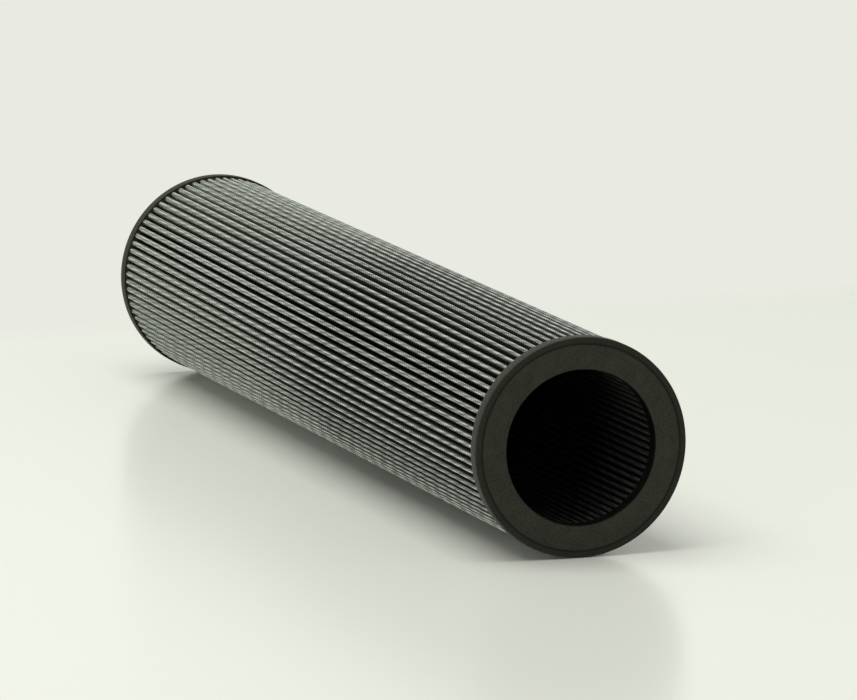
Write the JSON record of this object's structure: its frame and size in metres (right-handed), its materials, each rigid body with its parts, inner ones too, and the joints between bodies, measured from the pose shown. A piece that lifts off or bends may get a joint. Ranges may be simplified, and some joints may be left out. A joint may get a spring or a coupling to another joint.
{
  "type": "pleated filter element",
  "caption": "Long hollow pleated hydraulic filter element: a ring of deep mesh-faced folds between two open dark end caps, with no core tube.",
  "frame": {"origin": "centre of the bottom cap's face, where the element stands", "axes": "+Z along the element's axis, from the bottom cap to the top cap; the side seam of the pleats lies towards +X"},
  "size_m": [0.078, 0.078, 0.42],
  "materials": {
    "cap_plastic": "dark olive-grey moulded plastic, satin, slightly uneven",
    "adhesive": "dark cured epoxy adhesive",
    "wire_mesh": "fine woven wire cloth, pale greenish grey, satin",
    "filter_media": "off-white glass-fibre sheet, matt",
    "fleece": "thin pale spun fleece, matt"
  },
  "bodies": {
    "root": {"bottom_end_cap": "cap_plastic", "top_end_cap": "cap_plastic", "bottom_potting": "adhesive", "top_potting": "adhesive", "seam_bead": "adhesive", "outer_mesh": "wire_mesh", "inner_mesh": "wire_mesh", "prefilter_layer": "filter_media", "filter_medium": "filter_media", "downstream_fleece": "fleece"}
  },
  "joints": []
}
